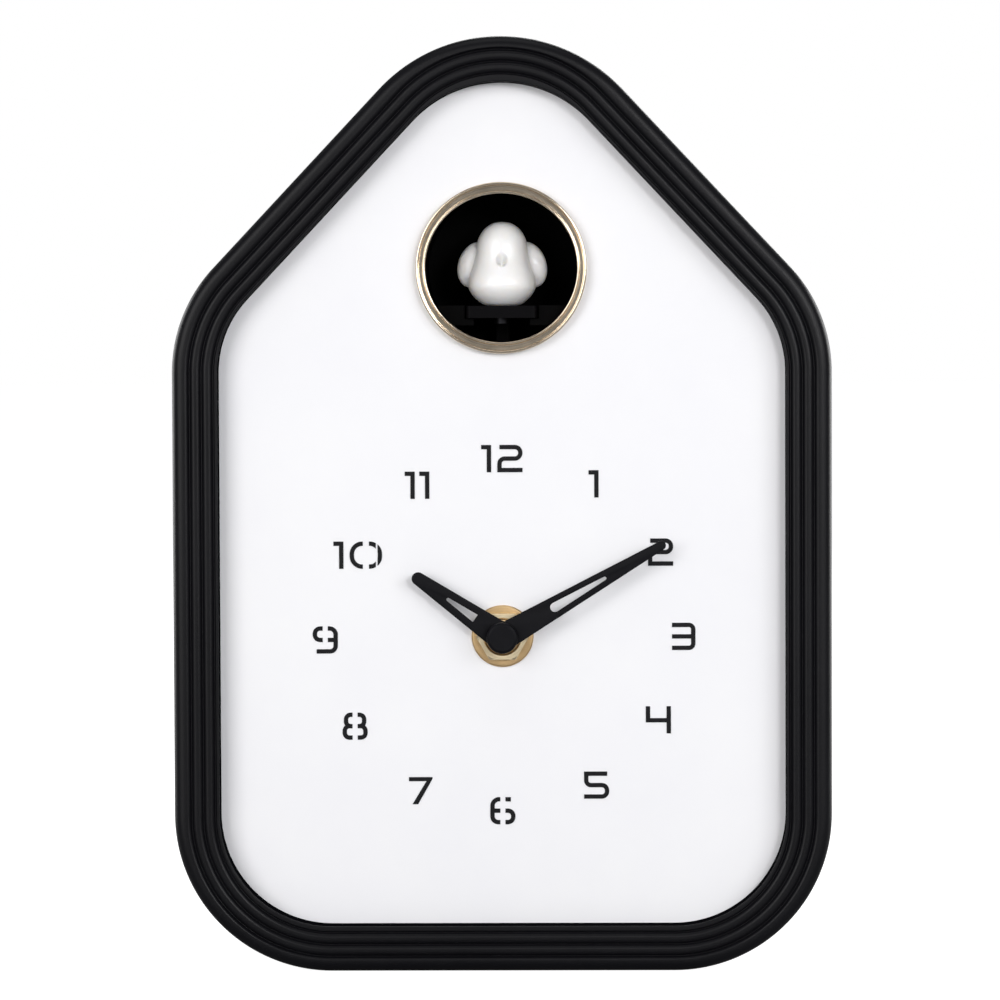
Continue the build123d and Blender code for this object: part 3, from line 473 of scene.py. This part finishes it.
finishes = {
    "case_black": mouldedPlastic("caseBlackMoulded", (0.005, 0.005, 0.0062), 0.55, 0.42, 0.012, specular=0.2),
    "dial_white": dialFinish("dialWhiteSatin", {
        "cool": (0.86, 0.86, 0.885), "warm": (0.885, 0.885, 0.9), "roughness": 0.42, "peel": 0.9, "depth": 0.004,
    }),
    "figure_black": inkFinish("figureInk"),
    "champagne_gold": turnedMetal(
        "champagnePlate", (0.78, 0.66, 0.51), 0.18, 0, portholeZ,
        line=0.4, depth=0.0002, stain=0.08, speckle=0.03),
    "chamber_black": glossFinish("chamberBlack", (0.0006, 0.0006, 0.0008), 0.6, 0.0, lift=0.4, specular=0.04),
    "carriage_black": glossFinish("carriageBlack", (0.0015, 0.0013, 0.002), 0.5, 0.0, lift=0.3, specular=0.05),
    "bird_white": glossFinish("birdGlossWhite", (0.95, 0.945, 0.935), 0.3, 0.15, deep=0.5),
    "brass": turnedMetal("brassTurned", (0.72, 0.5, 0.26), 0.34, 0, dialZ, stain=0.25),
    "blackened": turnedMetal("steelBlackened", (0.035, 0.035, 0.04), 0.45, 0, dialZ, line=0.3),
    "steel": turnedMetal("steelBright", (0.58, 0.59, 0.61), 0.3, 0, dialZ, stain=0.2),
    "plated_steel": turnedMetal("steelPlated", (0.66, 0.65, 0.62), 0.27, 0, dialZ, line=0.3, stain=0.18),
    "inner_black": mouldedPlastic("innerBlackMoulded", (0.022, 0.022, 0.024), 0.44, 0.6, 0.015),
    "gear_natural": mouldedPlastic("acetalNatural", (0.74, 0.72, 0.66), 0.4, 0.5, 0.006, lift=0.06),
    "magnet_dark": mouldedPlastic("magnetSintered", (0.055, 0.055, 0.06), 0.5, 0.3, 0.02, lift=0.5),
    "copper": windingFinish("copperWinding"),
    "board_green": boardFinish("boardSolderMask"),
    "cone_paper": coneFinish("conePaper"),
    "foam": foamFinish("foamBlack"),
    "battery_sleeve": sleeveFinish("batterySleeve", {
        "body": (0.012, 0.014, 0.02), "band": (0.62, 0.36, 0.12), "bandStart": 14.0, "roughness": 0.3,
    }),
}
finishes["hand_black"] = lacquerFinish("handLacquer", {
    "dark": (0.003, 0.003, 0.0042), "light": (0.0055, 0.0055, 0.0074), "roughness": 0.5, "specular": 0.09, "turn": 60,
})
print("finishes made:", len(finishes))

slotOf = {part["node"]: part["material_slot"] for part in frame["record"]["subparts"]}
special = {"bird_screw": "blackened", "bird_carriage": "carriage_black"}
for name, node in nodes.items():
    node.data.materials.clear()
    node.data.materials.append(finishes[special.get(name, slotOf[name])])


# Case frame: a reeded moulding carried round the house outline

case = {
    "height": 215.0, "width": 151.5, "roofAngle": 43.2,
    "apexRadius": 38.2, "eaveRadius": 35.3, "baseRadius": 36.2,
    "wall": 2.2, "opening": 10.5, "front": -28.0, "back": 27.5, "dialFront": -22.0,
    "edgeRound": 2.4, "lipRound": 0.3, "lipStep": 0.3,
    "grooves": (4.1, 6.82, 9.54), "grooveHalf": 0.55, "grooveDepth": 0.9, "reedRound": 1.05,
    "topShift": 1.0, "baseShift": 0.5,
    "arcSteps": 40, "runSteps": 12,
}


def houseLoop(side, top, base):
    # The rounded house drawn inwards by these insets: an arc about each corner, joined by
    # straight runs. One row of points for each inset.
    side, top, base = (np.asarray(v, float)[:, None] for v in (side, top, base))
    slope = case["roofAngle"]
    rise = 1 / sin(radians(slope)) - 1
    half = case["width"] / 2 - side
    peak = case["height"] + case["apexRadius"] * rise - side / sin(radians(slope))
    eave = peak - half / tan(radians(slope))
    eaveRound = case["eaveRadius"] - side
    baseRound = case["baseRadius"] - np.maximum(side, base)
    corners = [
        (half, eave, eaveRound, 0, slope),
        (0 * half, peak, (peak - case["height"] + top) / rise, slope, 180 - slope),
        (-half, eave, eaveRound, 180 - slope, 180),
        (-half, base, baseRound, 180, 270),
        (half, base, baseRound, 270, 360),
    ]
    arcs = []
    for x, z, radius, start, end in corners:
        first, last = radians(start), radians(end)
        share = radius / (1 + cos(last - first))
        centreX = x - share * (cos(first) + cos(last))
        centreZ = z - share * (sin(first) + sin(last))
        angle = np.linspace(first, last, case["arcSteps"])[None, :]
        arcs.append(np.stack([centreX + radius * np.cos(angle), centreZ + radius * np.sin(angle)], -1))
    loop = []
    for n, arc in enumerate(arcs):
        following = arcs[(n + 1) % len(arcs)]
        share = np.linspace(0, 1, case["runSteps"] + 2)[None, 1:-1, None]
        loop += [arc, arc[:, -1:] * (1 - share) + following[:, :1] * share]
    return np.concatenate(loop, 1)


def houseShell(name, line, body, finish, replaced, shifts):
    # A profile of (inset, y) carried round the house outline. The grooves sit a little
    # nearer the edge at the top and the base, so their insets shift there.
    inset, depth = line.T
    rise = np.clip((inset - case["edgeRound"]) / 1.4, 0, 1)
    fall = np.clip((case["opening"] - case["lipRound"] - inset) / 0.2, 0, 1)
    weight = np.minimum(rise, fall)
    loop = houseLoop(inset, inset - shifts[0] * weight, inset - shifts[1] * weight)
    grid = np.stack([loop[..., 0], depth[:, None] + 0 * loop[..., 0], loop[..., 1]], -1)
    faces = gridFaces(grid.shape[0], grid.shape[1], True, True)
    # the walls inside the opening, which are left matt and painted darker than the face as shade inside the recess
    inner = (inset > case["opening"] - 0.1) & (depth > case["front"] + 1.9 * case["lipRound"])
    marks = inner[:, None] & np.ones(grid.shape[:2], bool)
    return surfacePiece(name, [(grid, faces)], body, finish, replaced, marks=marks)


def frameLine():
    # Once round the moulding's section: outer wall, reeded face, lip, shelf and inner wall.
    front, back, half = case["front"], case["back"], case["grooveHalf"]
    corners = [(0, back, 0), (0, front, case["edgeRound"])]
    for middle in case["grooves"]:
        corners += [
            (middle - half, front, case["reedRound"]),
            (middle, front + case["grooveDepth"], 0.12),
            (middle + half, front, case["reedRound"]),
        ]
    last = case["grooves"][-1]
    corners[-1] = (last + half * 0.7, front + case["lipStep"], 0.2)
    corners += [
        (case["opening"], front + case["lipStep"], case["lipRound"]),
        (case["opening"], case["dialFront"], 0),
        (case["wall"], case["dialFront"], 0),
        (case["wall"], back, 0),
    ]
    return softLine(corners, closed=True, steps=9)


caseBlack = caseFinish("caseBlackFrame", {
    "dark": (0.0026, 0.0026, 0.0036), "light": (0.0052, 0.0052, 0.0068),
    "roughness": 0.37, "specular": 0.16, "grain": 0.38, "depth": 0.006,
})
# the opening's inner walls: a real matt finish, with a darker colour that is painted shade inside the recess
openingBlackShaded = caseFinish("caseBlackOpeningShaded", {
    "dark": (0.0022, 0.0022, 0.003), "light": (0.004, 0.004, 0.0052),
    "roughness": 0.8, "specular": 0.0, "grain": 0.38, "depth": 0.012,
})
houseShell("caseFrame", frameLine(), "case", [caseBlack, openingBlackShaded], ["front_frame"],
           (case["topShift"], case["baseShift"]))
print("case frame made")


# Porthole ring

ring = {
    "outer": 19.7, "opening": 17.5, "front": -24.6, "seat": -22.0, "collar": 18.3, "collarBack": -17.2,
    "lipFront": -24.35, "channel": -23.4, "oval": 0.4, "ovalEdge": 18.6, "ovalFade": 0.8,
}


def ringRipple(reach, along, turn):
    # The inner lip is pressed very slightly oval.
    inner = np.clip((ring["ovalEdge"] - reach) / ring["ovalFade"], 0, 1) * (along < ring["seat"])
    return reach - ring["oval"] * inner * np.sin(turn) ** 2


ringLine = softLine([
    (ring["opening"], ring["collarBack"], 0),
    (ring["opening"], ring["lipFront"], 0.22),
    (ring["opening"] + 0.46, ring["lipFront"], 0.21),
    (ring["opening"] + 0.56, ring["channel"], 0.08),
    (ring["outer"] - 0.74, ring["channel"], 0.08),
    (ring["outer"] - 0.66, ring["front"], 0.3),
    (ring["outer"], ring["front"], 0.34),
    (ring["outer"], ring["seat"], 0),
    (ring["collar"], ring["seat"], 0),
    (ring["collar"], ring["collarBack"], 0),
], closed=True, steps=7)
surfacePiece("portholeRing", [turned(ringLine, 0, portholeZ, 192, ripple=ringRipple)], "case",
             finishes["champagne_gold"], ["porthole_ring"])
print("porthole ring made")


# Bird

bird = {
    "y": -9.0, "foot": 153.3, "steps": 240,
    "beakZ": 163.9, "beakReach": 2.3, "beakWidth": 1.75, "beakDrop": 1.1,
    "tailZ": 158.6, "tailReach": 7.5, "tailWidth": 3.4, "tailLift": 1.6,
    # half-width at each height above the foot, from the foot to the crown
    "bell": ((3.3, 0.0), (4.8, 0.55), (6.5, 2.0), (7.6, 3.6), (7.95, 5.0), (7.6, 6.9), (6.7, 9.3), (6.15, 11.6),
             (5.9, 14.0), (5.35, 16.0), (4.1, 17.9), (2.2, 19.2), (0.0, 19.6)),
}


def throughPoints(points, steps=7):
    # A Catmull-Rom curve: cubic between neighbours, with the slope at each point taken from
    # the points on both sides of it.
    p = np.array(points, float)
    p = np.vstack([2 * p[0] - p[1], p, 2 * p[-1] - p[-2]])
    t = np.linspace(0, 1, steps, endpoint=False)[None, :, None]
    a, b, c, d = (p[n:len(p) - 3 + n, None] for n in range(4))
    curve = b + 0.5 * t * (c - a + t * (2 * a - 5 * b + 4 * c - d + t * (3 * (b - c) + d - a)))
    return np.vstack([curve.reshape(-1, 2), p[-2:-1]])


def birdBody():
    # A bell turned about an upright axis through the points of its half-width. A smooth
    # narrow bump on the front makes the beak and a broad one behind makes the tail.
    line = throughPoints(bird["bell"])
    line[-1, 0] = 0
    line = np.vstack([[(0.0, 0.0)], line])
    radius, z = line[:, :1], line[:, 1:] + bird["foot"]
    turn = np.arange(bird["steps"]) * 2 * pi / bird["steps"]
    across, along = radius * np.sin(turn), -radius * np.cos(turn)
    upward = z + 0 * turn
    # distances from the beak's and the tail's middles, as a share of their reach
    fromBeak = np.hypot(across * 1.2, upward - bird["beakZ"]) / bird["beakWidth"]
    beak = (1 - np.clip(fromBeak, 0, 1) ** 1.4) ** 1.6 * (along < 0)
    fromTail = np.hypot(across / 1.5, upward - bird["tailZ"]) / bird["tailWidth"]
    tail = (1 - np.clip(fromTail, 0, 1) ** 2) * (along > 0)
    along = along - bird["beakReach"] * beak + bird["tailReach"] * tail
    upward = upward - bird["beakDrop"] * beak + bird["tailLift"] * tail
    grid = np.stack([across, bird["y"] + along, upward], -1)
    return grid, gridFaces(len(line), bird["steps"], False, True)


wing = {
    "x": 6.4, "z": 162.9, "y": -6.6, "halfWidth": 3.9, "halfHeight": 5.5, "thick": 2.3, "lean": 20,
    "rows": 40, "steps": 96,
}


def birdWing(side):
    # A cushion-shaped oval, leaning in at the top, with three shallow feather steps.
    turn = np.arange(wing["steps"]) * 2 * pi / wing["steps"]
    rise = np.linspace(-pi / 2, pi / 2, wing["rows"])[:, None]
    plump = np.sign(np.cos(rise)) * np.abs(np.cos(rise)) ** 0.8
    x = wing["halfWidth"] * plump * np.cos(turn)
    z = wing["halfHeight"] * plump * np.sin(turn)
    y = wing["thick"] * np.sin(rise) + 0 * turn
    feather = np.sin((z + 0.3 * x * x) * 1.9) * 0.06 * np.clip(np.cos(rise), 0, 1)
    y = y + feather * np.sign(np.sin(rise))
    lean = radians(wing["lean"])
    across = x * cos(lean) - z * sin(lean)
    upward = x * sin(lean) + z * cos(lean)
    grid = np.stack([side * (wing["x"] + across), wing["y"] + y, wing["z"] + upward], -1)
    return grid, gridFaces(wing["rows"], wing["steps"], False, True)


birdWhite = finishes["bird_white"]
surfacePiece("birdBody", [birdBody()], "bird", birdWhite, ["bird_body"], crease=60)
surfacePiece("birdLeftWing", [birdWing(-1)], "bird", birdWhite, ["left_wing"], crease=60)
surfacePiece("birdRightWing", [birdWing(1)], "bird", birdWhite, ["right_wing"], crease=60)
print("bird made")


# Hands, cap, washer, nut and bushing

hands = {
    "hour": {
        "length": 25.1, "root": 3.3, "tip": 1.5, "slotStart": 7.6, "slotEnd": 15.2, "wide": 1.0, "narrow": 0.4,
        "bore": 2.52, "angle": 305.0, "back": -25.6, "square": True,
    },
    "minute": {
        "length": 43.3, "root": 3.15, "tip": 1.05, "slotStart": 12.9, "slotEnd": 27.2, "wide": 1.1, "narrow": 0.4,
        "bore": 1.52, "angle": 60.0, "back": -27.3, "square": False,
    },
    "thick": 0.7, "bevel": 0.16,
}


def arc(radius, centre, start, end, count):
    turn = np.radians(np.linspace(start, end, count))
    return np.stack([radius * np.cos(turn), centre + radius * np.sin(turn)], -1)


def handOutlines(hand):
    # Drawn pointing up from the hub: a tapered blade, a round hub, a slot and a bore.
    hub, root, tip = hand["root"] + 0.35, hand["root"], hand["tip"]
    blade = hand["length"] - tip
    # where the blade's edge leaves the hub's circle: |(root + (tip - root) t, blade t)| = hub
    a = (tip - root) ** 2 + blade ** 2
    b = 2 * root * (tip - root)
    t = (-b + sqrt(b * b - 4 * a * (root * root - hub * hub))) / (2 * a)
    leave = np.degrees(np.arctan2(blade * t, root + (tip - root) * t))
    outline = np.concatenate([
        arc(hub, 0, 180 - leave, 360 + leave, 60),
        arc(tip, blade, 0, 180, 22),
    ])
    slotEnd = arc(hand["narrow"], hand["slotEnd"], 0, 180, 12)
    if hand["square"]:
        slotStart = np.array([(-hand["wide"], hand["slotStart"]), (hand["wide"], hand["slotStart"])])
    else:
        slotStart = arc(hand["wide"], hand["slotStart"] + hand["wide"], 180, 360, 18)
    slot = np.concatenate([slotEnd, slotStart])
    bore = arc(hand["bore"], 0, 0, 360, 49)[:-1]
    turn = radians(hand["angle"])
    placed = []
    for flat in (outline, slot, bore):
        x = flat[:, 0] * cos(turn) + flat[:, 1] * sin(turn)
        z = -flat[:, 0] * sin(turn) + flat[:, 1] * cos(turn)
        placed.append(np.stack([x, dialZ + z], -1))
    return placed


for name in ("hour", "minute"):
    hand = hands[name]
    flatPlate(name + "Hand", handOutlines(hand), hand["back"] - hands["thick"], hand["back"], hands["bevel"],
              name, finishes["hand_black"], [name + "_hand"])

cap = {"radius": 3.55, "front": -30.0, "back": -28.0, "bore": 1.52, "boreEnd": -29.1}
capLine = softLine([
    (0, -29.9, 0), (2.9, cap["front"], 0.5), (cap["radius"], -29.75, 0.42), (cap["radius"], cap["back"], 0.1),
    (cap["bore"], cap["back"], 0), (cap["bore"], cap["boreEnd"], 0), (0, cap["boreEnd"], 0),
], steps=8)
surfacePiece("centreCap", [turned(capLine, 0, dialZ, 96)], "minute", finishes["hand_black"],
             ["centre_cap"])

washer = {"bore": 4.1, "radius": 7.15, "front": -22.8, "back": -22.0}
washerLine = softLine([
    (washer["bore"], washer["back"], 0), (washer["bore"], washer["front"], 0.1), (6.85, washer["front"], 0.3),
    (washer["radius"], -22.5, 0.15), (washer["radius"], washer["back"], 0),
], closed=True)
surfacePiece("dialWasher", [turned(washerLine, 0, dialZ, 128)], "case", finishes["brass"], ["dial_washer"])

nut = {
    "flats": 5.3, "corners": 6.02, "bore": 4.06, "back": -22.8, "front": -25.0, "chamferRadius": 5.5,
    "chamferTurn": 30, "steps": 180,
}


def hexNut():
    # A hexagon's reach at each angle, with its corners cut by a cone on the front.
    turn = np.arange(nut["steps"]) * 2 * pi / nut["steps"]
    corner = (turn + pi / 6) % (pi / 3) - pi / 6
    reach = np.minimum(nut["flats"] / np.cos(corner), nut["corners"])
    cut = np.maximum(0, reach - nut["chamferRadius"]) * tan(radians(nut["chamferTurn"]))
    flat = np.ones(nut["steps"])
    rows = [
        (nut["bore"] * flat, nut["back"] * flat),
        (reach, nut["back"] * flat),
        (reach, nut["front"] + 0.08 + cut),
        (reach - 0.06, nut["front"] + 0.02 + cut * 0.97),
        (np.minimum(reach - 0.1, nut["chamferRadius"]), nut["front"] * flat),
        ((nut["bore"] + 0.3) * flat, nut["front"] * flat),
        (nut["bore"] * flat, (nut["front"] + 0.3) * flat),
    ]
    radius = np.array([r for r, _ in rows])
    y = np.array([d for _, d in rows])
    grid = np.stack([radius * np.cos(turn + pi / 6), y, dialZ + radius * np.sin(turn + pi / 6)], -1)
    return grid, gridFaces(len(rows), nut["steps"], True, True)


nutBrass = turnedMetal("nutBrass", (0.93, 0.78, 0.52), 0.32, 0, dialZ, line=0.3, stain=0.12)
surfacePiece("hexNut", [hexNut()], "case", nutBrass, ["hex_nut"], crease=25)


bushing = {
    "radius": 4.0, "bore": 2.62, "front": -25.4, "back": -18.8, "threadBack": -20.5, "pitch": 0.6, "thread": 0.3,
}


def bushingThread(reach, along, turn):
    # A single-start thread: the radius follows a triangle wave of y and the turn.
    phase = (along / bushing["pitch"] + turn / (2 * pi)) % 1.0
    ridge = np.abs(phase * 2 - 1)
    outside = (reach > 3.5) & (along < bushing["threadBack"])
    return reach - bushing["thread"] * (1 - ridge) * outside


bushingRows = [(bushing["bore"], y) for y in np.linspace(bushing["back"], bushing["front"], 4)]
bushingRows += [(3.6, bushing["front"])]
bushingRows += [(bushing["radius"], y) for y in np.linspace(-25.3, bushing["threadBack"], 49)]
bushingRows += [(bushing["radius"], -20.0), (bushing["radius"], bushing["back"])]
surfacePiece("bushing", [turned(bushingRows, 0, dialZ, 96, ripple=bushingThread)], "case",
             finishes["brass"], ["threaded_bushing"], crease=50)
print("hands and centre made")


# Battery cells

cells = {"radius": 7.2, "length": 49.4, "y": 19.9, "rows": ((22.0, 22.4, -1), (38.0, -22.4, 1))}


def cellLine(flatEnd, towards):
    # Crimped sleeve between two metal ends, with the raised button at the far end.
    r, length = cells["radius"], cells["length"]
    line = softLine([
        (0, 0.25, 0), (5.4, 0.25, 0), (5.6, 0.0, 0.1), (6.1, 0.0, 0.1), (6.3, 0.3, 0.1), (r, 0.3, 0.5),
        (r, length - 0.3, 0.6), (5.9, length - 0.2, 0.1), (5.6, length - 0.55, 0.1), (2.9, length - 0.4, 0.1),
        (2.7, length + 0.98, 0.3), (0, length + 0.98, 0),
    ])
    return np.stack([line[:, 0], flatEnd + towards * line[:, 1]], -1)


cellParts = [turned(cellLine(start, way), cells["y"], z, 72, axis="x") for z, start, way in cells["rows"]]
surfacePiece("batteryCells", cellParts, "case", finishes["battery_sleeve"], ["batteries"])
print("battery cells made")


# Stage, lights and camera

stage = {
    "reach": 9.0, "rings": 40, "steps": 96,  # the floor's radius in metres, and its points
    "floorGlow": 0.95, "surround": 0.17, "surroundTint": (0.95, 0.97, 1.0, 1),
}


def pearlFloor():
    # A wide disc, in rings that grow with distance.
    radius = np.linspace(0, 1, stage["rings"])[:, None] ** 2 * stage["reach"] * 1000
    turn = np.arange(stage["steps"]) * 2 * pi / stage["steps"]
    grid = np.stack([radius * np.cos(turn), radius * np.sin(turn), -0.05 + 0 * radius * turn], -1)
    mesh = bpy.data.meshes.new("floor")
    faces = gridFaces(stage["rings"], stage["steps"], False, True)
    mesh.from_pydata((grid.reshape(-1, 3) * mm).tolist(), [], faces.tolist())
    shell = bmesh.new()
    shell.from_mesh(mesh)
    bmesh.ops.remove_doubles(shell, verts=shell.verts, dist=1e-5)
    bmesh.ops.recalc_face_normals(shell, faces=shell.faces)
    shell.to_mesh(mesh)
    shell.free()
    finish = Finish("floorPaper")
    cloud = finish.noise(400, 2.0)
    seenDirectly = finish.node("ShaderNodeLightPath", output="Is Camera Ray")
    mesh.materials.append(finish.surface({
        "Base Color": finish.mix(cloud, shade((0.3, 0.3, 0.3)), shade((0.34, 0.34, 0.34))),
        "Roughness": 0.9,
        "Specular IOR Level": 0.0,
        "Emission Color": (1, 1, 1, 1),
        "Emission Strength": seenDirectly * stage["floorGlow"],
    }))
    floor = bpy.data.objects.new("floor", mesh)
    bpy.context.scene.collection.objects.link(floor)


pearlFloor()

world = bpy.data.worlds.new("studio")
world.use_nodes = True
bpy.context.scene.world = world
tree = world.node_tree
background = next(n for n in tree.nodes if n.type == "BACKGROUND")
seen = tree.nodes.new("ShaderNodeBackground")
seen.inputs["Color"].default_value = (1, 1, 1, 1)
seen.inputs["Strength"].default_value = 1.0
background.inputs["Color"].default_value = stage["surroundTint"]
background.inputs["Strength"].default_value = stage["surround"]
path = tree.nodes.new("ShaderNodeLightPath")
either = tree.nodes.new("ShaderNodeMixShader")
output = next(n for n in tree.nodes if n.type == "OUTPUT_WORLD")
tree.links.new(path.outputs["Is Camera Ray"], either.inputs[0])
tree.links.new(background.outputs[0], either.inputs[1])
tree.links.new(seen.outputs[0], either.inputs[2])
tree.links.new(either.outputs[0], output.inputs[0])

lights = {
    # name: place, aim, size, watts and colour of each soft box
    "keyLeft": ((-0.85, -1.4, 0.42), (0, 0, 0.11), 1.0, 15.1, (1.0, 0.99, 0.985)),
    "frontRight": ((0.45, -1.35, 0.38), (0, 0, 0.11), 0.32, 6.1, (1.0, 0.99, 1.0)),
    "fillRight": ((0.9, -1.1, 0.45), (0, 0, 0.11), 0.6, 4.6, (0.97, 0.985, 1.0)),
    "topBox": ((0.0, -0.3, 1.3), (0, 0, 0.12), 0.8, 2.5, (1, 1, 1)),
    "rimLeft": ((-0.75, 0.4, 0.2), (0, 0, 0.11), 0.6, 6.0, (1, 1, 1)),
    "rimRight": ((0.75, 0.4, 0.2), (0, 0, 0.11), 0.6, 7.0, (1, 1, 1)),
    "backBox": ((0.3, 1.3, 0.9), (0, 0, 0.1), 0.9, 14.0, (1, 1, 1)),
}
for name, (place, aim, size, watts, colour) in lights.items():
    lamp = bpy.data.lights.new(name, "AREA")
    lamp.shape = "SQUARE"
    lamp.size = size
    lamp.energy = watts
    lamp.color = colour
    holder = bpy.data.objects.new(name, lamp)
    direction = np.array(aim) - np.array(place)
    across = np.hypot(direction[0], direction[1])
    heading = np.arctan2(direction[1], direction[0]) - pi / 2
    holder.rotation_euler = Euler((np.arctan2(across, -direction[2]), 0, heading))
    holder.location = place
    holder.visible_camera = False
    bpy.context.scene.collection.objects.link(holder)

view = {"place": (0.0153, -1.028, 0.1506), "pitch": -2.394, "yaw": -0.899, "roll": -0.224, "lens": 157.15}
camera = bpy.data.cameras.new("camera")
camera.sensor_width = 36
camera.lens = view["lens"]
camera.clip_start = 0.05
camera.clip_end = 40
eye = bpy.data.objects.new("camera", camera)
eye.location = view["place"]
level = Euler((radians(90 + view["pitch"]), 0, radians(-view["yaw"]))).to_matrix()
rolled = level @ Euler((0, 0, radians(view["roll"]))).to_matrix()
eye.rotation_euler = rolled.to_euler()
bpy.context.scene.collection.objects.link(eye)
bpy.context.scene.camera = eye
bpy.context.scene.view_settings.view_transform = "Standard"
print("stage, lights and camera set")
